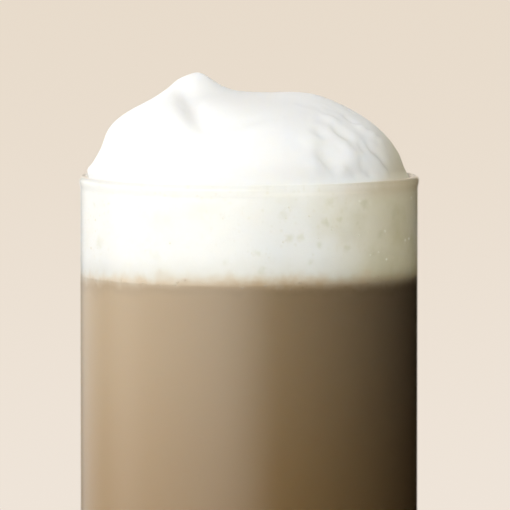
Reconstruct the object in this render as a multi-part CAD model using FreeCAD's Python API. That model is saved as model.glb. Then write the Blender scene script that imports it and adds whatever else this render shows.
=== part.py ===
"""Hojicha milk tea in a straight glass, topped with a spooned mound of milk foam.

Millimetres, +Z up, the origin on the table under the middle of the glass, +Y away from the drinker.
Three pieces that rest in each other: the glass, the tea in it, and the foam that floats on the tea
and stands above the rim.
"""

import FreeCAD, Part
import math
import os

Vector = FreeCAD.Vector

# ---- the glass ----
glass_diameter = 68.0
glass_height = 118.0
wall_thickness = 1.8
base_thickness = 6.0
heel_radius = 2.6          # round between the wall and the underside, outside
inner_heel_radius = 5.0    # the same, inside
punt_radius = 23.0         # shallow hollow under the base, inside the ring that it stands on
punt_depth = 0.8
lip_proud = 0.25           # how far the lip stands out of the wall
lip_swell_height = 1.8     # over which it comes out
lip_round = 1.0            # height of the rounded top of the lip

# ---- the drink ----
foam_below_rim = 20.0      # depth of the foam that shows through the wall
contact_below_rim = 0.7    # where the mound leaves the wall, under the top of the lip

# ---- the mound of foam ----
dome_height = 16.5          # over the rim, without its humps
dome_overhang = 0.2         # how far the dome would bulge past the inner wall if there were none
right_flank = (2.05, 2.0)   # how full the flank is: power of the radius, and root of the height
left_flank = (3.05, 3.2)
flank_fade = 4              # humps die away towards the wall with this power of the radius

# each hump: place from the glass's axis, rise over the dome, and half width
tip = {"x": -9.9, "y": 2.5, "rise": 1.0, "width": 2.7}
shoulder = {"x": -11.5, "y": 1.0, "rise": 3.7, "width": 6.2}
right_hump = {"x": 13.3, "y": -2.0, "rise": 1.5, "width": 7.4}

# the fold that the last spoonful left, seen from above: from behind the tip down the front, then
# back round to the right
fold_course = [
    (-14.2, 2.5), (-13.3, -4.0), (-12.3, -11.0), (-11.2, -18.0), (-9.4, -24.0),
    (-5.0, -25.4), (0.6, -23.6), (5.8, -19.9), (9.8, -13.8), (12.2, -7.6),
]
fold_depth = 1.5
fold_width = 1.7
fold_lip_rise = 0.7         # the foam that bulges beside the fold, on its outer side
fold_lip_width = 3.0
fold_full = (0.16, 0.42)    # shares of its length between which it is at full depth

# ---- how the mound's solid is laid out ----
skirt_share = 0.25          # how far up the hidden foam the mound's plain skirt starts
cutting_room = 1.0          # how far the solid that trims the foam runs past it
rings = 36
ring_crowding = 1.35        # over 1, the rings crowd towards the wall, where the flank is steep
points_per_ring = 108
fold_steps = 60


def inner_radius():
    return glass_diameter / 2 - wall_thickness


def tea_level():
    return glass_height - foam_below_rim


def arc_edge(start, end, centre, radius, through_angle):
    """An arc in the X-Z plane from start to end, past the point at through_angle degrees."""
    a = math.radians(through_angle)
    middle = Vector(centre[0] + radius * math.cos(a), 0, centre[1] + radius * math.sin(a))
    return Part.Arc(Vector(start[0], 0, start[1]), middle, Vector(end[0], 0, end[1])).toShape()


def line_edge(start, end):
    return Part.LineSegment(Vector(start[0], 0, start[1]), Vector(end[0], 0, end[1])).toShape()


def revolved(edges):
    """The solid that a closed outline in the X-Z plane makes when it turns about Z."""
    face = Part.Face(Part.Wire(edges))
    return face.revolve(Vector(0, 0, 0), Vector(0, 0, 1), 360)


def lip_edges(outer, inner):
    """From the wall's outside up, over the rounded lip, and down to the wall's inside."""
    top = glass_height
    swell_base = top - lip_round - lip_swell_height
    half = lip_swell_height / 2
    step = lip_proud / 2
    bend = (half ** 2 + step ** 2) / (2 * step)        # radius of each half of the swell
    turn = math.degrees(math.asin(half / bend))
    crest = outer + lip_proud
    crown = (crest + inner) / 2
    waist = (outer + step, swell_base + half)
    shoulder_z = top - lip_round
    first = arc_edge((outer, swell_base), waist, (outer + bend, swell_base), bend, 180 - turn / 2)
    second = arc_edge(waist, (crest, shoulder_z), (crest - bend, shoulder_z), bend, -turn / 2)
    over = Part.Arc(Vector(crest, 0, shoulder_z), Vector(crown, 0, top), Vector(inner, 0, shoulder_z))
    return [first, second, over.toShape()], swell_base, shoulder_z


def make_glass():
    outer, inner = glass_diameter / 2, inner_radius()
    lip, wall_top, inner_top = lip_edges(outer, inner)
    stand = outer - heel_radius
    punt = Part.Arc(
        Vector(0, 0, punt_depth),
        Vector(punt_radius / 2, 0, punt_depth * 0.75),
        Vector(punt_radius, 0, 0),
    ).toShape()
    floor_edge = inner - inner_heel_radius
    edges = [
        punt,
        line_edge((punt_radius, 0), (stand, 0)),
        arc_edge((stand, 0), (outer, heel_radius), (stand, heel_radius), heel_radius, -45),
        line_edge((outer, heel_radius), (outer, wall_top)),
        *lip,
        line_edge((inner, inner_top), (inner, base_thickness + inner_heel_radius)),
        arc_edge(
            (inner, base_thickness + inner_heel_radius),
            (floor_edge, base_thickness),
            (floor_edge, base_thickness + inner_heel_radius),
            inner_heel_radius,
            -45,
        ),
        line_edge((floor_edge, base_thickness), (0, base_thickness)),
        line_edge((0, base_thickness), (0, punt_depth)),
    ]
    return revolved(edges)


def make_tea():
    inner = inner_radius()
    floor_edge = inner - inner_heel_radius
    heel_top = base_thickness + inner_heel_radius
    edges = [
        line_edge((0, base_thickness), (floor_edge, base_thickness)),
        arc_edge(
            (floor_edge, base_thickness), (inner, heel_top), (floor_edge, heel_top), inner_heel_radius, -45
        ),
        line_edge((inner, heel_top), (inner, tea_level())),
        line_edge((inner, tea_level()), (0, tea_level())),
        line_edge((0, tea_level()), (0, base_thickness)),
    ]
    return revolved(edges)


def skirt_foot():
    """Where the mound's skirt starts: above the tea, and well below the dome's own edge."""
    return tea_level() + foam_below_rim * skirt_share


def smooth_step(low, high, value):
    t = min(1.0, max(0.0, (value - low) / (high - low)))
    return t * t * (3 - 2 * t)


def fold_line():
    """Points along the fold, seen from above."""
    curve = Part.BSplineCurve()
    curve.interpolate([Vector(x, y, 0) for x, y in fold_course])
    return [(p.x, p.y) for p in curve.discretize(fold_steps)]


def place_by_fold(x, y, line):
    """How far a point lies outside the fold's line, and how far along the fold it is, from 0 to 1."""
    nearest, along, side = math.inf, 0.0, 1.0
    for i, ((ax, ay), (bx, by)) in enumerate(zip(line, line[1:])):
        dx, dy = bx - ax, by - ay
        t = min(1.0, max(0.0, ((x - ax) * dx + (y - ay) * dy) / (dx * dx + dy * dy)))
        gap = math.hypot(x - ax - t * dx, y - ay - t * dy)
        if gap < nearest:
            nearest, along = gap, i + t
            side = -1.0 if dx * (y - ay) - dy * (x - ax) > 0 else 1.0
    return side * nearest, along / (len(line) - 1)


def dome_rise(share, angle):
    """The plain dome's height over the rim, at a share of its radius and an angle round it."""
    leftness = (1 - math.cos(angle)) / 2
    power = right_flank[0] + (left_flank[0] - right_flank[0]) * leftness
    root = right_flank[1] + (left_flank[1] - right_flank[1]) * leftness

    def fullness(s):
        return max(0.0, 1 - s ** power) ** (1 / root)

    at_wall = fullness(inner_radius() / (inner_radius() + dome_overhang))
    rise = dome_height + contact_below_rim
    return rise * (fullness(share) - at_wall) / (1 - at_wall) - contact_below_rim


def mound_rise(share, angle, line):
    """The mound's height over the rim: dome, humps and fold."""
    radius = share * (inner_radius() + dome_overhang)
    x, y = radius * math.cos(angle), radius * math.sin(angle)
    relief = 0.0
    for hump in (tip, shoulder, right_hump):
        square = ((x - hump["x"]) ** 2 + (y - hump["y"]) ** 2) / hump["width"] ** 2
        relief += hump["rise"] * math.exp(-square)
    outside, along = place_by_fold(x, y, line)
    strength = smooth_step(0, fold_full[0], along) * (1 - smooth_step(fold_full[1], 1, along))
    groove = math.exp(-((outside / fold_width) ** 2))
    beside = math.exp(-((outside / fold_lip_width - 1) ** 2)) if outside > 0 else math.exp(-1 - outside ** 2)
    relief += strength * (fold_lip_rise * beside - fold_depth * groove)
    return dome_rise(share, angle) + relief * (1 - share ** flank_fade)


def ring_wire(points):
    """A smooth closed wire through points that stand at equal angles."""
    ring = Part.BSplineCurve()
    knots = [float(i) for i in range(len(points) + 1)]
    ring.interpolate(Points=points, PeriodicFlag=True, Parameters=knots)
    return Part.Wire(ring.toShape())


def make_mound():
    """The mound as if the glass had no wall: a dome of rings on a plain upright skirt."""
    line = fold_line()
    reach = inner_radius() + dome_overhang
    angles = [2 * math.pi * i / points_per_ring for i in range(points_per_ring)]

    def ring(share, height):
        return ring_wire(
            [Vector(reach * share * math.cos(a), reach * share * math.sin(a), height(a)) for a in angles]
        )

    skirt = ring(1.0, lambda a: skirt_foot())
    levels = [
        ring(share, lambda a, share=share: glass_height + mound_rise(share, a, line))
        for share in (1 - (k / rings) ** ring_crowding for k in range(rings))
    ]
    apex = Part.Vertex(Vector(0, 0, glass_height + mound_rise(0.0, 0.0, line)))
    return Part.makeLoft([skirt, *levels, apex], True, False, False)


def make_foam():
    """What floats on the tea: a plug that fills the glass to its wall, under the mound's surface."""
    mound = make_mound()
    top = mound.BoundBox.ZMax + cutting_room
    plug = Part.makeCylinder(inner_radius(), top - tea_level(), Vector(0, 0, tea_level()))
    air_radius = inner_radius() + dome_overhang + cutting_room
    air_foot = skirt_foot() + cutting_room
    air = Part.makeCylinder(air_radius, top + cutting_room - air_foot, Vector(0, 0, air_foot)).cut(mound)
    return plug.cut(air).Solids[0]


if __name__ == "__main__":
    os.makedirs("parts", exist_ok=True)
    for name, make in (("glass", make_glass), ("milk_tea", make_tea), ("milk_foam", make_foam)):
        shape = make()
        print(name, shape.ShapeType, shape.isValid(), round(shape.Volume), shape.BoundBox)
        shape.exportStep(f"parts/{name}.step")
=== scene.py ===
import math
import random

import bmesh
import bpy
from mathutils import Matrix, Vector, noise
from mathutils.bvhtree import BVHTree


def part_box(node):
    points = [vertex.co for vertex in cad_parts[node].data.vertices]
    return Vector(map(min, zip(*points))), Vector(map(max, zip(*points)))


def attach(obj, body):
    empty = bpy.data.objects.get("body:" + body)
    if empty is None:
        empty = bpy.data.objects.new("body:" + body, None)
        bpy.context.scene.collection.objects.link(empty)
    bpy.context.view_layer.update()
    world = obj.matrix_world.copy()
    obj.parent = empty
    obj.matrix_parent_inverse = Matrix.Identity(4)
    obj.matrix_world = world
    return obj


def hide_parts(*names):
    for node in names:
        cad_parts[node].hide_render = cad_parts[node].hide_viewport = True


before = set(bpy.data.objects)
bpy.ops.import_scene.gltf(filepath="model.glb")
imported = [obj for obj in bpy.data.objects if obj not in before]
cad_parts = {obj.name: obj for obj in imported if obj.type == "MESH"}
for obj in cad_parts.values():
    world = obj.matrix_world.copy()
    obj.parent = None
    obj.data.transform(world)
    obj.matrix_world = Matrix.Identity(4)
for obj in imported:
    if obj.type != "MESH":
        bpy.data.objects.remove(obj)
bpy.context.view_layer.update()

mm = 0.001

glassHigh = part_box("glass")[1]
teaLow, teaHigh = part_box("milk_tea")
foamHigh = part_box("milk_foam")[1]
innerRadius = teaHigh.x
rimHeight = glassHigh.z
teaLevel = teaHigh.z
support = 0.4 * mm        # distance of the loops that hold a rounded corner
crisp = 0.02 * mm         # distance of the loops that keep a corner sharp
wallReach = 0.05 * mm     # how far the drink reaches into the wall, so that no air shows between them
closeBy = 0.001 * mm      # points nearer than this are merged
print("frame read: rim at", round(rimHeight / mm, 1), "mm, foam up to", round(foamHigh.z / mm, 1), "mm")


# ---- modelling helpers ----

def smoothStep(low, high, value):
    t = min(1.0, max(0.0, (value - low) / (high - low)))
    return t * t * (3 - 2 * t)


def arcPoints(centre, radius, fromAngle, toAngle, steps):
    # radius and height of points along an arc, its two ends included
    points = []
    for i in range(steps + 1):
        a = math.radians(fromAngle + (toAngle - fromAngle) * i / steps)
        points.append((centre[0] + radius * math.cos(a), centre[1] + radius * math.sin(a)))
    return points


def spunMesh(outline, steps):
    # turns an outline of (radius, height) about the glass's axis into a closed shell
    bm = bmesh.new()
    verts = [bm.verts.new((r, 0, z)) for r, z in outline]
    edges = [bm.edges.new(pair) for pair in zip(verts, verts[1:])]
    bmesh.ops.spin(
        bm, geom=verts + edges, cent=(0, 0, 0), axis=(0, 0, 1), dvec=(0, 0, 0),
        angle=math.tau, steps=steps, use_merge=True, use_duplicate=False,
    )
    bmesh.ops.remove_doubles(bm, verts=bm.verts, dist=closeBy)
    bmesh.ops.recalc_face_normals(bm, faces=bm.faces)
    return bm


def pieceFrom(bm, name, material):
    for face in bm.faces:
        face.smooth = True
    mesh = bpy.data.meshes.new(name)
    bm.to_mesh(mesh)
    bm.free()
    piece = bpy.data.objects.new(name, mesh)
    bpy.context.scene.collection.objects.link(piece)
    piece.data.materials.append(material)
    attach(piece, "root")
    return piece


# ---- material helpers ----

def newMaterial(name):
    material = bpy.data.materials.new(name)
    material.use_nodes = True
    material.node_tree.nodes.clear()
    return material


def addNode(tree, kind, inputs=None, **settings):
    # inputs are plain values, or sockets to link from
    node = tree.nodes.new(kind)
    for key, value in settings.items():
        setattr(node, key, value)
    for key, value in (inputs or {}).items():
        if isinstance(value, bpy.types.NodeSocket):
            tree.links.new(value, node.inputs[key])
        else:
            node.inputs[key].default_value = value
    return node


def maths(tree, operation, a, b=0.0, clamp=False):
    return addNode(tree, "ShaderNodeMath", {0: a, 1: b}, operation=operation, use_clamp=clamp).outputs[0]


def vectorMaths(tree, operation, a, b=(0, 0, 0), result="Vector"):
    return addNode(tree, "ShaderNodeVectorMath", {0: a, 1: b}, operation=operation).outputs[result]


def mixColours(tree, factor, a, b, blend="MIX"):
    node = addNode(tree, "ShaderNodeMix", data_type="RGBA", blend_type=blend)
    for socket, value in ((0, factor), (6, a), (7, b)):
        if isinstance(value, bpy.types.NodeSocket):
            tree.links.new(value, node.inputs[socket])
        else:
            node.inputs[socket].default_value = value
    return node.outputs[2]


def ramp(tree, value, low, high):
    # 0 at low, 1 at high, smooth between
    return addNode(
        tree, "ShaderNodeMapRange", {"Value": value, "From Min": low, "From Max": high},
        interpolation_type="SMOOTHSTEP",
    ).outputs["Result"]


def placeAndHeight(tree):
    place = addNode(tree, "ShaderNodeTexCoord").outputs["Object"]
    height = addNode(tree, "ShaderNodeSeparateXYZ", {"Vector": place}).outputs["Z"]
    return place, height


# ---- milk froth: one group that the foam, the tea and the bubbles use ----

def makeFrothGroup():
    group = bpy.data.node_groups.new("milkFroth", "ShaderNodeTree")
    for name, kind, start in (
        ("Place", "NodeSocketVector", None),
        ("Bubble Size", "NodeSocketFloat", 0.4 * mm),
        ("Unevenness", "NodeSocketFloat", 0.5),
    ):
        socket = group.interface.new_socket(name=name, in_out="INPUT", socket_type=kind)
        if start is not None:
            socket.default_value = start
    for name in ("Bubbles", "Clouds"):
        group.interface.new_socket(name=name, in_out="OUTPUT", socket_type="NodeSocketFloat")
    given = group.nodes.new("NodeGroupInput")
    result = group.nodes.new("NodeGroupOutput")
    perSize = maths(group, "DIVIDE", 1.0, given.outputs["Bubble Size"])
    cells = addNode(
        group, "ShaderNodeTexVoronoi",
        {"Vector": given.outputs["Place"], "Scale": perSize, "Randomness": 1.0},
        feature="F1",
    )
    # only some cells hold a bubble, and no two are as large
    luck = addNode(group, "ShaderNodeSeparateColor", {"Color": cells.outputs["Color"]}).outputs["Red"]
    reach = maths(group, "MULTIPLY", luck, 0.42)
    edge = maths(group, "SUBTRACT", reach, cells.outputs["Distance"])
    group.links.new(ramp(group, edge, 0.0, 0.16), result.inputs["Bubbles"])
    wide = addNode(
        group, "ShaderNodeTexNoise",
        {"Vector": given.outputs["Place"], "Scale": maths(group, "MULTIPLY", perSize, 0.09),
         "Detail": 4.0, "Roughness": given.outputs["Unevenness"]},
    )
    group.links.new(wide.outputs["Fac"], result.inputs["Clouds"])
    return group


frothGroup = makeFrothGroup()


def froth(tree, place, size, unevenness):
    node = addNode(tree, "ShaderNodeGroup", node_tree=frothGroup)
    tree.links.new(place, node.inputs["Place"])
    node.inputs["Bubble Size"].default_value = size
    node.inputs["Unevenness"].default_value = unevenness
    return node.outputs["Bubbles"], node.outputs["Clouds"]


# ---- the colours where the foam meets the tea ----

drinkColours = {
    "foam": (0.895, 0.895, 0.885, 1),
    "foamInGlass": (0.9, 0.896, 0.872, 1),
    "shadeTan": (0.66, 0.595, 0.43, 1),    # painted shade: the foam in the glass towards its right side
    "stainAndShadeTan": (0.6, 0.515, 0.32, 1),      # the same painted shade low down, where tea also stains the foam; also the painted shade on the mound's right edge
    "rightShadeFrom": 10.0 * mm,                # how far right of the middle the painted shade begins, and where it is full
    "rightShadeTo": 31.5 * mm,
    "blotch": (0.86, 0.86, 0.77, 1),      # what a blotch takes off the foam's colour
    "stained": (0.72, 0.675, 0.51, 1),    # foam that has taken up some tea, near the edge and in patches
    "teaTop": (0.645, 0.475, 0.285, 1),
    "teaLow": (0.525, 0.335, 0.148, 1),
    "line": (0.4, 0.26, 0.14, 1),         # the darker line just under the foam
    "lowStain": 0.45,                     # how stained the foam is at the very bottom
    "blendAbove": 3.2 * mm,               # how far the tea's colour climbs into the foam
    "blendBelow": 0.9 * mm,
    "stainAbove": 7.0 * mm,
    "sag": 1.2 * mm,                      # how much lower the foam hangs at the sides
    "waver": 2.0 * mm,                    # how uneven that edge is
    "waverScale": 240.0,                  # waves to a metre
    "teaLowAt": 45 * mm,                  # height at which the tea has its lower colour: painted shade, darker towards the bottom
}


def foamEdge(tree, place, height):
    # height over the wavering edge between foam and tea
    slow = addNode(
        tree, "ShaderNodeTexNoise",
        {"Vector": place, "Scale": drinkColours["waverScale"], "Detail": 5.0, "Roughness": 0.6},
    )
    swing = maths(tree, "SUBTRACT", slow.outputs["Fac"], 0.5)
    shift = maths(tree, "MULTIPLY", swing, drinkColours["waver"] * 2)
    # the foam hangs a little lower at both sides
    across = addNode(tree, "ShaderNodeSeparateXYZ", {"Vector": place}).outputs["X"]
    share = maths(tree, "DIVIDE", across, innerRadius)
    sag = maths(tree, "MULTIPLY", maths(tree, "MULTIPLY", share, share), drinkColours["sag"])
    return maths(tree, "ADD", maths(tree, "SUBTRACT", height, teaLevel), maths(tree, "ADD", shift, sag))


def rightShade(tree, place):
    # how far across the drink a point lies, and a painted shade mask from 0 to 1 towards its right side
    across = addNode(tree, "ShaderNodeSeparateXYZ", {"Vector": place}).outputs["X"]
    return across, ramp(tree, across, drinkColours["rightShadeFrom"], drinkColours["rightShadeTo"])


def wetFoamColour(tree, shadeMask, stain):
    # the foam against the glass: paler at the left and tanner towards the right as painted shade, browner
    # where tea has risen
    pale = mixColours(tree, shadeMask, drinkColours["foamInGlass"], drinkColours["shadeTan"])
    stained = mixColours(tree, shadeMask, drinkColours["stained"], drinkColours["stainAndShadeTan"])
    return mixColours(tree, stain, pale, stained)


def teaColour(tree, height):
    # painted shade: the tea darkens from its top colour at the foam to its lower colour further down
    depth = ramp(tree, height, drinkColours["teaLowAt"], teaLevel)
    return mixColours(tree, depth, drinkColours["teaLow"], drinkColours["teaTop"])


# ---- glass ----

glassLook = {
    "wall": 1.8 * mm,
    "floor": teaLow.z,
    "heel": 2.6 * mm,
    "innerHeel": 5.0 * mm,
    "puntRadius": 23.0 * mm,
    "puntDepth": 0.8 * mm,
    "lipSwell": 1.8 * mm,
    "lipRound": 1.0 * mm,
    "steps": 192,
    "tint": (0.985, 0.99, 0.98, 1),
    "shadowTint": (0.97, 0.97, 0.96, 1),
    "smear": 0.008,
    "ripple": 0.06 * mm,
}


def makeGlassMaterial():
    material = newMaterial("clearGlass")
    tree = material.node_tree
    place = placeAndHeight(tree)[0]
    # faint upright draw marks, as a machine-blown wall has
    stretched = addNode(tree, "ShaderNodeMapping", {"Vector": place, "Scale": (1.0, 1.0, 0.06)})
    marks = addNode(
        tree, "ShaderNodeTexNoise",
        {"Vector": stretched.outputs[0], "Scale": 90.0, "Detail": 2.0},
    )
    bump = addNode(
        tree, "ShaderNodeBump",
        {"Strength": 0.25, "Distance": glassLook["ripple"], "Height": marks.outputs["Fac"]},
    )
    smear = addNode(tree, "ShaderNodeTexNoise", {"Vector": place, "Scale": 45.0, "Detail": 3.0})
    roughness = maths(tree, "MULTIPLY", smear.outputs["Fac"], glassLook["smear"])
    clear = addNode(
        tree, "ShaderNodeBsdfPrincipled",
        {"Base Color": glassLook["tint"], "Roughness": roughness, "IOR": 1.5,
         "Transmission Weight": 1.0, "Normal": bump.outputs[0]},
    )
    # light on its way to the drink passes straight through
    passing = addNode(tree, "ShaderNodeBsdfTransparent", {"Color": glassLook["shadowTint"]})
    path = addNode(tree, "ShaderNodeLightPath")
    forBounces = addNode(
        tree, "ShaderNodeMixShader",
        {0: path.outputs["Is Diffuse Ray"], 1: clear.outputs[0], 2: passing.outputs[0]},
    )
    forLamps = addNode(
        tree, "ShaderNodeMixShader",
        {0: path.outputs["Is Shadow Ray"], 1: forBounces.outputs[0], 2: passing.outputs[0]},
    )
    addNode(tree, "ShaderNodeOutputMaterial", {"Surface": forLamps.outputs[0]})
    return material


def makeGlass():
    look = glassLook
    inner = innerRadius
    outer = inner + look["wall"]
    crest = glassHigh.x
    top = rimHeight
    swellFoot = top - look["lipRound"] - look["lipSwell"]
    puntCurve = (look["puntRadius"] ** 2 + look["puntDepth"] ** 2) / (2 * look["puntDepth"])
    puntTurn = math.degrees(math.asin(look["puntRadius"] / puntCurve))
    outline = arcPoints((0, look["puntDepth"] - puntCurve), puntCurve, 90, 90 - puntTurn, 10)
    outline += [(look["puntRadius"] + support, 0)]
    outline += arcPoints((outer - look["heel"], look["heel"]), look["heel"], -90, 0, 12)
    outline += [(outer, look["heel"] + support)]
    outline += [(outer, look["heel"] + (swellFoot - look["heel"]) * i / 6) for i in range(1, 6)]
    outline += [(outer, swellFoot - support)]
    for i in range(9):
        t = i / 8
        outline.append((outer + (crest - outer) * smoothStep(0, 1, t), swellFoot + look["lipSwell"] * t))
    middle = (crest + inner) / 2
    half = (crest - inner) / 2
    for i in range(1, 17):
        a = math.pi * i / 16
        outline.append((middle + half * math.cos(a), top - look["lipRound"] * (1 - math.sin(a))))
    bowlFoot = look["floor"] + look["innerHeel"]
    outline += [(inner, top - look["lipRound"] - support), (inner, bowlFoot + support)]
    outline += arcPoints((inner - look["innerHeel"], bowlFoot), look["innerHeel"], 0, -90, 12)
    outline += [(inner - look["innerHeel"] - support, look["floor"]), (0, look["floor"])]
    glass = pieceFrom(spunMesh(outline, look["steps"]), "tall_glass", makeGlassMaterial())
    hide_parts("glass")
    return glass


makeGlass()
print("glass made")


# ---- milk tea ----

teaLook = {
    "steps": 192,
    "roughness": 0.25,
    "softness": 0.5,
    "reach": 5.0 * mm,      # how far light runs inside the tea
    "line": 0.2,            # how strong the darker line under the foam is
    "specks": 0.35,
    "clouds": 0.12,
}


def makeTeaMaterial():
    material = newMaterial("hojichaMilkTea")
    tree = material.node_tree
    place, height = placeAndHeight(tree)
    over = foamEdge(tree, place, height)
    plain = teaColour(tree, height)
    # a darker line under the foam, then the foam's own colour coming in
    lineIn = ramp(tree, over, -2.6 * mm, -0.9 * mm)
    lineOut = ramp(tree, over, -0.9 * mm, 0.4 * mm)
    line = maths(tree, "MULTIPLY", maths(tree, "SUBTRACT", lineIn, lineOut, clamp=True), teaLook["line"])
    lined = mixColours(tree, line, plain, drinkColours["line"])
    foamIn = ramp(tree, over, -drinkColours["blendBelow"], drinkColours["blendAbove"])
    # the foam's colour coming in carries its painted shade on the right side
    shadeMask = rightShade(tree, place)[1]
    coloured = mixColours(tree, foamIn, lined, wetFoamColour(tree, shadeMask, drinkColours["lowStain"]))
    bubbles, clouds = froth(tree, place, 0.7 * mm, 0.55)
    nearTop = ramp(tree, over, -2.0 * mm, 0.0)
    specks = maths(tree, "MULTIPLY", maths(tree, "MULTIPLY", bubbles, nearTop), teaLook["specks"])
    specked = mixColours(tree, specks, coloured, drinkColours["line"])
    cloudy = maths(tree, "MULTIPLY", maths(tree, "SUBTRACT", clouds, 0.5), teaLook["clouds"])
    final = mixColours(tree, maths(tree, "ABSOLUTE", cloudy), specked, drinkColours["teaTop"])
    roughness = maths(tree, "ADD", teaLook["roughness"], maths(tree, "MULTIPLY", clouds, 0.1))
    softness = maths(tree, "MULTIPLY", ramp(tree, over, -0.5 * mm, -3.0 * mm), teaLook["softness"])
    body = addNode(
        tree, "ShaderNodeBsdfPrincipled",
        {"Base Color": final, "Roughness": roughness, "Specular IOR Level": 0.1,
         "Subsurface Weight": softness, "Subsurface Radius": (1.0, 0.7, 0.45),
         "Subsurface Scale": teaLook["reach"]},
    )
    addNode(tree, "ShaderNodeOutputMaterial", {"Surface": body.outputs[0]})
    return material


def makeTea():
    radius = innerRadius + wallReach
    floor = teaLow.z - wallReach
    heel = glassLook["innerHeel"]
    foot = teaLow.z + heel
    outline = [(0, floor), (innerRadius - heel - support, floor)]
    outline += arcPoints((innerRadius - heel, foot), heel + wallReach, -90, 0, 12)
    outline += [(radius, foot + support), (radius, teaLevel - support), (radius, teaLevel - crisp)]
    outline += [(radius, teaLevel), (radius - crisp, teaLevel), (radius - 1.0 * mm, teaLevel), (0, teaLevel)]
    tea = pieceFrom(spunMesh(outline, teaLook["steps"]), "hojicha_tea", makeTeaMaterial())
    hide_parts("milk_tea")
    return tea


teaPiece = makeTea()
print("tea made")


# ---- milk foam ----

foamLook = {
    "steps": 400,
    "domeRings": 110,
    "wallRings": 30,
    "contact": 0.7 * mm,        # how far under the rim the mound leaves the wall
    "centreDrop": 5.0 * mm,     # the mound is shaped along lines from this far under the contact
    "smoothing": 4,             # rounds of smoothing over the whole mound
    "calming": 30,              # further rounds on its right side, before its relief is added
    "softening": 4,             # and after it
    "reach": 9.0 * mm,          # how far light runs inside the foam
    "lumps": 0.14,              # height in mm of the uneven patches on the right side
    "lumpSize": 4.4,
    "smallLumps": 0.1,
    "smallLumpSize": 1.9,
    "patches": 0.22,            # how stained the patches and the single bubbles are
    "dots": 0.18,
    "lowRightShade": 0.5,           # how much more painted shade tans the foam low on its right side
    "rimShade": 0.35,           # how much painted shade browns the foam just under the rim at the right
    # how strongly uneven patches darken the right side: random tone used as painted shade
    "shadeCloudTone": 0.8,
    "shade": 0.75,              # how much painted shade tans the mound's right edge, and from where to where
    "shadeFrom": 23.0 * mm,
    "shadeTo": 30.5 * mm,
    # fuller or leaner bands on the flanks, in mm:
    # where across it begins, where it is whole, how far over the rim it lies, its width and its height
    "flanks": (
        (10.0, 20.0, 10.5, 5.0, 0.55), (24.0, 29.0, 1.5, 2.5, -0.35),
        (-20.0, -27.0, 5.8, 3.2, -0.95), (-22.0, -29.0, 0.6, 1.2, 0.9),
    ),
    # small forms on the front, in mm: across from the middle, over the rim, radius, height (below 0: a pit)
    "marks": (
        (14.9, 5.6, 1.56, -1.01), (16.4, 4.1, 1.68, -1.29), (17.9, 9.7, 1.44, -0.95), (19.4, 8.6, 1.2, -0.68),
        (20, 13, 1.32, -0.95), (20.3, 11.4, 1.32, -0.95), (24.5, 1.8, 1.56, -1.01), (20.3, 5.1, 2.2, 1.01),
        (22, 9.6, 1.1, 1.01), (24, 8.4, 1.1, 1.1), (25.8, 7.2, 1, 1.01), (24.4, 6.3, 1.2, -1.01),
        (26, 5.2, 1.2, -1.01), (27.2, 3.6, 1.08, -0.74), (27.2, 1.6, 1.1, 0.85), (12.5, 8.2, 2.2, 0.68),
        (22.6, 3, 1.44, -0.74), (18.6, 6.9, 1.2, 0.76), (16.2, 11.8, 1.4, 0.68), (13.4, 3.2, 1.5, 0.59),
        (22.4, 6.6, 0.96, -0.68), (18.4, 2.4, 1.2, 0.68), (14.2, 9.6, 1.56, -0.54), (21.2, 1.6, 1.08, -0.61),
    ),
    # blotches on the foam in the glass:
    # degrees round from the front, mm under the rim, radius in mm, depth of colour
    "blotches": (
        (27.6, 7.7, 1.6, 1.0), (33.2, 7.1, 1.2, 1.0), (44.0, 4.4, 1.8, 1.0), (25.0, 12.1, 1.1, 0.75),
        (14.2, 10.5, 1.2, 0.75), (18.2, 10.5, 1.1, 0.75), (4.6, 17.0, 1.1, 0.62), (40.5, 8.2, 1.1, 0.75),
        (52.0, 10.6, 1.5, 0.75), (22.0, 15.4, 1.1, 0.62), (36.0, 12.8, 1.4, 0.75), (12.0, 6.0, 1.4, 0.44),
        (-63.5, 12.6, 2.0, 0.62), (-67.5, 5.2, 1.1, 0.62), (-34.0, 14.4, 1.5, 0.38), (3.0, 13.4, 1.2, 0.5),
        (48.0, 14.4, 1.4, 0.75), (60.0, 7.0, 1.5, 0.75), (29.0, 3.6, 1.6, 0.62), (-8.0, 15.2, 1.2, 0.5),
    ),
    "blotchWarp": 2.0 * mm,
    # soft forms beside the fold: a course in plan, its width and height, in mm
    "folds": (
        (((-14.2, 2.5), (-13.3, -4.0), (-12.3, -11.0)), 1.8, 0.35),
        (((-11.9, -13.5), (-10.8, -18.0), (-8.8, -22.5)), 2.8, -0.5),
        (((-5.0, -25.4), (0.6, -23.6), (5.8, -19.9), (9.8, -13.8)), 2.0, 0.22),
    ),
}


def foamTarget():
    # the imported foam's surface, to lay the finer mesh on
    bm = bmesh.new()
    bm.from_mesh(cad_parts["milk_foam"].data)
    bmesh.ops.remove_doubles(bm, verts=bm.verts, dist=closeBy)
    target = BVHTree.FromBMesh(bm)
    bm.free()
    return target


def softBlotches(tree, place):
    # pockets of thinner froth against the wall, each with its own soft edge
    rough = addNode(tree, "ShaderNodeTexNoise", {"Vector": place, "Scale": 900.0, "Detail": 3.0})
    pushed = vectorMaths(tree, "SUBTRACT", rough.outputs["Color"], (0.5, 0.5, 0.5))
    warp = foamLook["blotchWarp"]
    at = vectorMaths(tree, "ADD", place, vectorMaths(tree, "MULTIPLY", pushed, (warp, warp, warp)))
    total = None
    for turn, under, radius, depth in foamLook["blotches"]:
        a = math.radians(turn)
        middle = (innerRadius * math.sin(a), -innerRadius * math.cos(a), rimHeight - under * mm)
        away = vectorMaths(tree, "DISTANCE", at, middle, "Value")
        spot = maths(tree, "MULTIPLY", ramp(tree, away, radius * mm, 0.0), depth)
        total = spot if total is None else maths(tree, "MAXIMUM", total, spot)
    return total


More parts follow.
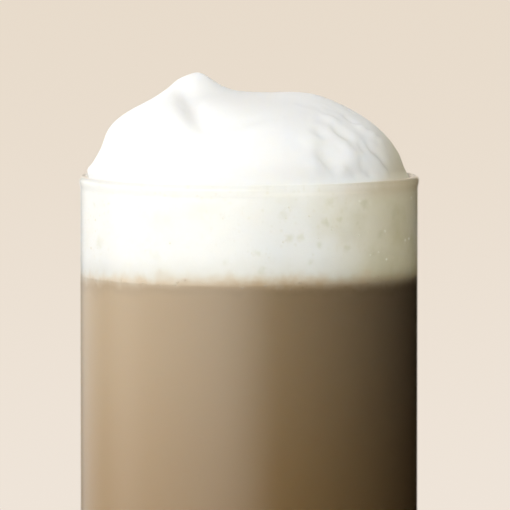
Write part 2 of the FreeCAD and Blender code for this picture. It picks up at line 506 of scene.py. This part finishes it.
def makeFoamMaterial():
    material = newMaterial("milkFoam")
    tree = material.node_tree
    place, height = placeAndHeight(tree)
    over = foamEdge(tree, place, height)
    foamIn = ramp(tree, over, -drinkColours["blendBelow"], drinkColours["blendAbove"])
    inGlass = ramp(tree, height, rimHeight + 0.5 * mm, rimHeight - 1.5 * mm)
    bubbles, clouds = froth(tree, place, 0.9 * mm, 0.55)
    fine = froth(tree, place, 0.32 * mm, 0.6)[0]
    # tea rises into the foam: all along its lower part, and in patches and single bubbles above
    stain = maths(tree, "SUBTRACT", 1.0, ramp(tree, over, 0.0, drinkColours["stainAbove"]))
    patches = maths(tree, "MULTIPLY", ramp(tree, clouds, 0.45, 0.75), foamLook["patches"])
    dots = maths(tree, "MULTIPLY", bubbles, foamLook["dots"])
    across, shadeMask = rightShade(tree, place)
    # painted shade: more tan low on the right side, added to the real stain
    most = maths(tree, "ADD", drinkColours["lowStain"], maths(tree, "MULTIPLY", shadeMask, foamLook["lowRightShade"]))
    rising = maths(tree, "MULTIPLY", stain, most)
    stained = maths(tree, "MAXIMUM", rising, maths(tree, "ADD", patches, dots), clamp=True)
    low = wetFoamColour(tree, shadeMask, stained)
    # painted shade: browner just under the rim on the right side
    nearRim = maths(tree, "MULTIPLY", ramp(tree, height, rimHeight - 4.5 * mm, rimHeight - 1.0 * mm), shadeMask)
    low = mixColours(tree, maths(tree, "MULTIPLY", nearRim, foamLook["rimShade"]), low, drinkColours["line"])
    # uneven patches only on the shaded right side: painted shade, joined with the thin-froth blotches
    shadeClouds = maths(tree, "MULTIPLY", ramp(tree, clouds, 0.42, 0.7), shadeMask)
    uneven = maths(tree, "MULTIPLY", shadeClouds, foamLook["shadeCloudTone"])
    thin = maths(tree, "MAXIMUM", softBlotches(tree, place), uneven)
    low = mixColours(tree, thin, low, drinkColours["blotch"], "MULTIPLY")
    # painted shade: the mound turns tan towards its right edge
    outward = ramp(tree, across, foamLook["shadeFrom"], foamLook["shadeTo"])
    shadedSide = maths(tree, "MULTIPLY", outward, foamLook["shade"])
    dry = mixColours(tree, shadedSide, drinkColours["foam"], drinkColours["stainAndShadeTan"])
    wet = mixColours(tree, inGlass, dry, low)
    coloured = mixColours(tree, foamIn, teaColour(tree, height), wet)
    pits = maths(tree, "ADD", maths(tree, "MULTIPLY", fine, -0.5), clouds)
    bump = addNode(tree, "ShaderNodeBump", {"Strength": 0.35, "Distance": 0.12 * mm, "Height": pits})
    body = addNode(
        tree, "ShaderNodeBsdfPrincipled",
        {"Base Color": coloured, "Roughness": maths(tree, "ADD", 0.5, maths(tree, "MULTIPLY", clouds, 0.15)),
         "Specular IOR Level": 0.3, "Subsurface Weight": ramp(tree, over, 0.5 * mm, 4.0 * mm),
         "Subsurface Radius": (1.0, 0.95, 0.85), "Subsurface Scale": foamLook["reach"],
         "Normal": bump.outputs[0]},
    )
    addNode(tree, "ShaderNodeOutputMaterial", {"Surface": body.outputs[0]})
    return material


def distanceToCourse(x, y, course):
    nearest = 1e9
    for (ax, ay), (bx, by) in zip(course, course[1:]):
        dx, dy = bx - ax, by - ay
        t = min(1.0, max(0.0, ((x - ax) * dx + (y - ay) * dy) / (dx * dx + dy * dy)))
        nearest = min(nearest, math.hypot(x - ax - t * dx, y - ay - t * dy))
    return nearest


def soften(bm, verts, rounds):
    for i in range(rounds):
        bmesh.ops.smooth_vert(bm, verts=verts, factor=0.5, use_axis_x=True, use_axis_y=True, use_axis_z=True)


def placeMarks(target):
    # finds where a level line from the front meets the mound
    placed = []
    for x, over, radius, height in foamLook["marks"]:
        start = Vector((x * mm, -0.1, rimHeight + over * mm))
        hit = target.ray_cast(start, Vector((0, 1, 0)))[0]
        if hit:
            placed.append((hit, radius * mm, height * mm))
    return placed


def moundRelief(point, marks):
    # how far the surface stands out at a point, over the smooth mound
    look = foamLook
    x, y, z = (c / mm for c in point)
    rightness = smoothStep(6, 20, x)
    lumps = noise.fractal(Vector((x, y * 0.7, z)) / look["lumpSize"], 0.9, 2.0, 2)
    small = noise.fractal(Vector((x + 40, y * 0.7, z)) / look["smallLumpSize"], 0.9, 2.0, 2)
    sideways = 0.45 + 0.55 * smoothStep(3, 12, abs(y))
    both = lumps * look["lumps"] + small * look["smallLumps"]
    out = both * (0.12 + 0.88 * rightness) * sideways * mm
    for centre, radius, height in marks:
        away = (point - centre).length / radius
        if away < 3:
            out += height * math.exp(-away * away)
    over = z - rimHeight / mm
    for fromX, toX, level, width, height in look["flanks"]:
        out += height * mm * smoothStep(fromX, toX, x) * math.exp(-((over - level) / width) ** 2)
    # the fold lies left of the middle and in front, so the rest isn't measured
    if -22 < x < 18 and y < 8:
        for course, width, height in look["folds"]:
            out += height * mm * math.exp(-(distanceToCourse(x, y, course) / width) ** 2)
    return out


def makeFoam():
    look = foamLook
    radius = innerRadius + wallReach
    contact = rimHeight - look["contact"]
    centre = Vector((0, 0, contact - look["centreDrop"]))
    outline = [(0, teaLevel), (radius - support, teaLevel), (radius - crisp, teaLevel)]
    outline += [(radius, teaLevel), (radius, teaLevel + crisp)]
    rise = contact - teaLevel
    outline += [(radius, teaLevel + rise * i / look["wallRings"]) for i in range(1, look["wallRings"] + 1)]
    first = math.atan2(look["centreDrop"], radius)
    for i in range(1, look["domeRings"]):
        a = first + (math.pi / 2 - first) * i / look["domeRings"]
        outline.append((radius * math.cos(a), centre.z + radius * math.sin(a)))
    outline.append((0, centre.z + radius))
    bm = spunMesh(outline, look["steps"])
    target = foamTarget()
    dome = [v for v in bm.verts if v.co.z > contact + 0.01 * mm]
    for vert in dome:
        vert.co = target.ray_cast(centre, (vert.co - centre).normalized())[0]
    soften(bm, dome, look["smoothing"])
    uneven = [v for v in dome if v.co.z > rimHeight + 0.5 * mm and v.co.x > 7 * mm]
    soften(bm, uneven, look["calming"])
    bm.normal_update()
    marks = placeMarks(target)
    shifts = []
    for vert in dome:
        fade = smoothStep(0, 2.5 * mm, vert.co.z - contact)
        shifts.append((vert, vert.normal * (moundRelief(vert.co, marks) * fade)))
    for vert, shift in shifts:
        vert.co += shift
    soften(bm, uneven, look["softening"])
    foam = pieceFrom(bm, "foam_mound", makeFoamMaterial())
    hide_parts("milk_foam")
    return foam


foamPiece = makeFoam()
print("foam made")


# ---- bubbles in the foam against the glass ----

bubbleLook = {
    "colour": (0.8, 0.77, 0.66, 1),
    "paleColour": (0.86, 0.84, 0.76, 1),
    "edgeColour": (0.6, 0.48, 0.34, 1),         # those where the foam meets the tea
    "edgePaleColour": (0.68, 0.57, 0.43, 1),
    "depth": 0.1 * mm,
    "proud": 0.06 * mm,        # how far a bubble stands out past the foam
    "smallCount": 130,
    "smallSizes": (0.1, 0.3),      # half heights in mm
    "edgeCount": 70,
    "edgeSizes": (0.1, 0.26),
    "seed": 11,
}


def makeBubbleMaterial(name, colour, paleColour):
    material = newMaterial(name)
    tree = material.node_tree
    place = placeAndHeight(tree)[0]
    bubbles, clouds = froth(tree, place, 0.4 * mm, 0.5)
    varied = mixColours(tree, maths(tree, "MULTIPLY", clouds, 0.6), colour, paleColour)
    bump = addNode(tree, "ShaderNodeBump", {"Strength": 0.2, "Distance": 0.05 * mm, "Height": bubbles})
    body = addNode(
        tree, "ShaderNodeBsdfPrincipled",
        {"Base Color": varied, "Roughness": maths(tree, "ADD", 0.2, maths(tree, "MULTIPLY", clouds, 0.2)),
         "Specular IOR Level": 0.1, "Normal": bump.outputs[0]},
    )
    addNode(tree, "ShaderNodeOutputMaterial", {"Surface": body.outputs[0]})
    return material


def addBubble(bm, turn, height, halfWidth, halfHeight):
    # a flat lens lying against the wall
    depth = bubbleLook["depth"]
    middle = innerRadius + wallReach + bubbleLook["proud"] - depth
    shape = Matrix.Diagonal((halfWidth * mm, depth, halfHeight * mm, 1))
    place = Matrix.Rotation(math.radians(turn), 4, "Z") @ Matrix.Translation((0, -middle, height)) @ shape
    bmesh.ops.create_icosphere(bm, subdivisions=2, radius=1.0, matrix=place)


def makeBubbles():
    look = bubbleLook
    draw = random.Random(look["seed"])
    bm = bmesh.new()
    least, most = look["smallSizes"]
    for i in range(look["smallCount"]):
        size = least + (most - least) * draw.random() ** 2.5
        under = 3.0 + 13.0 * draw.random() ** 0.8
        addBubble(bm, draw.uniform(-180, 180), rimHeight - under * mm, size * draw.uniform(1.0, 1.4), size)
    material = makeBubbleMaterial("foamBubble", look["colour"], look["paleColour"])
    inFoam = pieceFrom(bm, "foam_bubbles", material)
    bm = bmesh.new()
    least, most = look["edgeSizes"]
    for i in range(look["edgeCount"]):
        size = least + (most - least) * draw.random() ** 2
        over = draw.gauss(0.1, 0.5)
        addBubble(bm, draw.uniform(-180, 180), teaLevel + over * mm, size * draw.uniform(1.0, 1.6), size)
    material = makeBubbleMaterial("edgeBubble", look["edgeColour"], look["edgePaleColour"])
    return [inFoam, pieceFrom(bm, "edge_bubbles", material)]


bubblePieces = makeBubbles()
print("bubbles made")


# ---- table, light and camera ----

sceneLook = {
    "backdrop": (0.805, 0.709, 0.597, 1),      # the plain wall behind
    "backdropLow": (0.862, 0.78, 0.693, 1),
    "lowBelow": -0.112,                        # the wall's lower colour ends, and its upper one is full,
    "highAbove": -0.03,                        # at these sines of the elevation
    "tableRadius": 0.42,
    "table": (0.85, 0.77, 0.67, 1),
    "tableBounce": (0.06, 0.052, 0.043, 1),    # what the table gives back to the drink
}

lightLook = {
    "softbox": {"azimuth": -48.0, "edge": 0.31, "strength": 2.84},     # the large one, left of the camera
    "leftBack": {"azimuth": -122.0, "edge": 0.6, "strength": 1.68},
    "leftBackHidden": 0.2,    # how much of it the glass doesn't mirror
    "boxColour": (1.0, 0.985, 0.955),
    "bandMiddle": 0.06,       # the softboxes' height and half depth, as sines of the elevation
    "bandDepth": 0.3,
    "overhead": {"azimuth": 180.0, "elevation": 45.0, "edge": 0.75, "strength": 0.5},
    # lamps on the drink itself, wide and soft, and none of them mirrored in the glass
    "foamBeams": {
        "azimuths": (12.0, 34.0, 56.0), "elevation": 0.0, "colour": (0.985, 1.0, 0.975),
        "distance": 0.3, "width": 0.2,
        # lower edge, upper edge, strength and spread in degrees: on the foam in the glass, and on the mound
        "levels": (
            (teaLevel + 0.7 * mm, rimHeight, 0.235, 1.2),
            (rimHeight, rimHeight + 28.0 * mm, 0.205, 2.5),
        ),
    },
    # suns: the strength is that of a white surface facing them, the width is in degrees
    "sideLamp": {
        "azimuth": -88.0, "elevation": 45.0, "strength": 0.45, "colour": (1.0, 1.0, 1.0), "width": 30.0,
    },
    "topLamp": {
        "azimuth": 10.0, "elevation": 80.0, "strength": 0.26, "colour": (1.0, 1.0, 1.0), "width": 40.0,
    },
    "backLamp": {
        "azimuth": 155.0, "elevation": 20.0, "strength": 0.25, "colour": (1.0, 0.95, 0.82), "width": 30.0,
    },
    "floorLamp": {
        "azimuth": 150.0, "elevation": 65.0, "strength": 0.75, "colour": (1.0, 0.98, 0.95), "width": 60.0,
    },
}

cameraLook = {
    "elevation": 4.0,
    "distance": 1.54,
    "pictureWidth": 102.6 * mm,
    "lookAt": (1.2 * mm, 0, rimHeight - 16.1 * mm),
}


def makeTable():
    bm = bmesh.new()
    bmesh.ops.create_circle(bm, cap_ends=True, segments=96, radius=sceneLook["tableRadius"])
    mesh = bpy.data.meshes.new("table_top")
    bm.to_mesh(mesh)
    bm.free()
    table = bpy.data.objects.new("table_top", mesh)
    bpy.context.scene.collection.objects.link(table)
    material = newMaterial("paleTable")
    tree = material.node_tree
    place = addNode(tree, "ShaderNodeTexCoord").outputs["Object"]
    away = vectorMaths(tree, "LENGTH", place, result="Value")
    grain = addNode(tree, "ShaderNodeTexNoise", {"Vector": place, "Scale": 60.0, "Detail": 3.0})
    bump = addNode(
        tree, "ShaderNodeBump",
        {"Strength": 0.1, "Distance": 0.2 * mm, "Height": grain.outputs["Fac"]},
    )
    path = addNode(tree, "ShaderNodeLightPath")
    # pale to the eye, and darker for the light that it throws back on the drink
    seen = maths(tree, "MAXIMUM", path.outputs["Is Camera Ray"], path.outputs["Is Glossy Ray"])
    seen = maths(tree, "MAXIMUM", seen, path.outputs["Is Transmission Ray"])
    colour = mixColours(tree, seen, sceneLook["tableBounce"], sceneLook["table"])
    matt = addNode(tree, "ShaderNodeBsdfDiffuse", {"Color": colour, "Normal": bump.outputs[0]})
    gone = addNode(tree, "ShaderNodeBsdfTransparent")
    edge = ramp(tree, away, sceneLook["tableRadius"] * 0.6, sceneLook["tableRadius"])
    shown = addNode(tree, "ShaderNodeMixShader", {0: edge, 1: matt.outputs[0], 2: gone.outputs[0]})
    addNode(tree, "ShaderNodeOutputMaterial", {"Surface": shown.outputs[0]})
    table.data.materials.append(material)
    return table


def direction(azimuth, elevation=0.0):
    # a way out from the glass: 0 towards the camera, positive to its right
    a = math.radians(azimuth)
    e = math.radians(elevation)
    return Vector((math.sin(a) * math.cos(e), -math.cos(a) * math.cos(e), math.sin(e)))


def lightLobe(tree, way, towards, light):
    facing = vectorMaths(tree, "DOT_PRODUCT", way, towards, "Value")
    return maths(tree, "MULTIPLY", ramp(tree, facing, light["edge"], 1.0), light["strength"])


def makeWorld():
    look = lightLook
    world = bpy.data.worlds.new("studio")
    bpy.context.scene.world = world
    world.use_nodes = True
    tree = world.node_tree
    tree.nodes.clear()
    way = addNode(tree, "ShaderNodeTexCoord").outputs["Generated"]
    flat = vectorMaths(tree, "MULTIPLY", way, (1, 1, 0))
    level = vectorMaths(tree, "NORMALIZE", flat)
    boxes = [lightLobe(tree, level, direction(look[n]["azimuth"]), look[n]) for n in ("softbox", "leftBack")]
    path = addNode(tree, "ShaderNodeLightPath")
    # the box at the left back lights the drink, but is mirrored more weakly in the glass
    hidden = maths(tree, "MULTIPLY", path.outputs["Is Glossy Ray"], look["leftBackHidden"])
    kept = maths(tree, "SUBTRACT", 1.0, hidden)
    row = maths(tree, "ADD", boxes[0], maths(tree, "MULTIPLY", boxes[1], kept))
    z = addNode(tree, "ShaderNodeSeparateXYZ", {"Vector": way}).outputs["Z"]
    off = maths(tree, "DIVIDE", maths(tree, "SUBTRACT", z, look["bandMiddle"]), look["bandDepth"])
    band = maths(tree, "EXPONENT", maths(tree, "MULTIPLY", maths(tree, "MULTIPLY", off, off), -1.0))
    top = look["overhead"]
    above = lightLobe(tree, way, direction(top["azimuth"], top["elevation"]), top)
    light = maths(tree, "ADD", maths(tree, "MULTIPLY", row, band), above)
    studio = addNode(tree, "ShaderNodeBackground", {"Color": (*look["boxColour"], 1), "Strength": light})
    rise = ramp(tree, z, sceneLook["lowBelow"], sceneLook["highAbove"])
    wall = mixColours(tree, rise, sceneLook["backdropLow"], sceneLook["backdrop"])
    backdrop = addNode(tree, "ShaderNodeBackground", {"Color": wall, "Strength": 1.0})
    seen = maths(tree, "MAXIMUM", path.outputs["Is Camera Ray"], path.outputs["Is Transmission Ray"])
    # what the glass mirrors of the wall: only what stands behind it
    backward = addNode(tree, "ShaderNodeSeparateXYZ", {"Vector": level}).outputs["Y"]
    behind = ramp(tree, backward, 0.95, 0.995)
    mirrored = maths(tree, "MULTIPLY", path.outputs["Is Glossy Ray"], behind)
    shown = addNode(
        tree, "ShaderNodeMixShader",
        {0: maths(tree, "MAXIMUM", seen, mirrored), 1: studio.outputs[0], 2: backdrop.outputs[0]},
    )
    addNode(tree, "ShaderNodeOutputWorld", {"Surface": shown.outputs[0]})


def placeLamp(name, kind, look, middle, lit):
    lamp = bpy.data.objects.new(name, bpy.data.lights.new(name, kind))
    bpy.context.scene.collection.objects.link(lamp)
    lamp.data.color = look["colour"]
    lamp.visible_glossy = False
    lamp.light_linking.receiver_collection = lit
    way = direction(look["azimuth"], look["elevation"])
    lamp.location = middle + way * look.get("distance", 0.5)
    lamp.rotation_mode = "QUATERNION"
    lamp.rotation_quaternion = way.to_track_quat("Z", "Y")
    return lamp


def lightOnly(name, pieces):
    lit = bpy.data.collections.new(name)
    for piece in pieces:
        lit.objects.link(piece)
    return lit


def makeLamps(foamPieces, tea, table):
    foamOnly = lightOnly("foamOnly", foamPieces)
    drink = lightOnly("drink", foamPieces + [tea])
    floor = lightOnly("floor", [table])
    suns = (("sideLamp", foamOnly), ("topLamp", foamOnly), ("backLamp", foamOnly), ("floorLamp", floor))
    for name, lit in suns:
        look = lightLook[name]
        lamp = placeLamp(name, "SUN", look, Vector((0, 0, rimHeight)), lit)
        lamp.data.angle = math.radians(look["width"])
        lamp.data.energy = math.pi * look["strength"]
    # level beams whose soft lower edge falls where the foam meets the tea
    look = lightLook["foamBeams"]
    for low, high, strength, spread in look["levels"]:
        middle = Vector((0, 0, (low + high) / 2))
        for azimuth in look["azimuths"]:
            lamp = placeLamp("foamBeam", "AREA", dict(look, azimuth=azimuth), middle, drink)
            lamp.data.shape = "RECTANGLE"
            lamp.data.size = look["width"]
            lamp.data.size_y = high - low
            lamp.data.spread = math.radians(spread)
            lamp.data.energy = math.pi * strength * look["width"] * (high - low)


def makeCamera():
    look = cameraLook
    camera = bpy.data.objects.new("camera", bpy.data.cameras.new("camera"))
    bpy.context.scene.collection.objects.link(camera)
    camera.data.lens = camera.data.sensor_width * look["distance"] / look["pictureWidth"]
    camera.data.clip_end = 20
    e = math.radians(look["elevation"])
    back = Vector((0, -math.cos(e), math.sin(e)))
    camera.location = Vector(look["lookAt"]) + back * look["distance"]
    camera.rotation_mode = "QUATERNION"
    camera.rotation_quaternion = (-back).to_track_quat("-Z", "Y")
    bpy.context.scene.camera = camera


tablePiece = makeTable()
makeWorld()
makeLamps([foamPiece] + bubblePieces, teaPiece, tablePiece)
makeCamera()
bpy.context.scene.view_settings.view_transform = "Standard"
print("table, light and camera made")
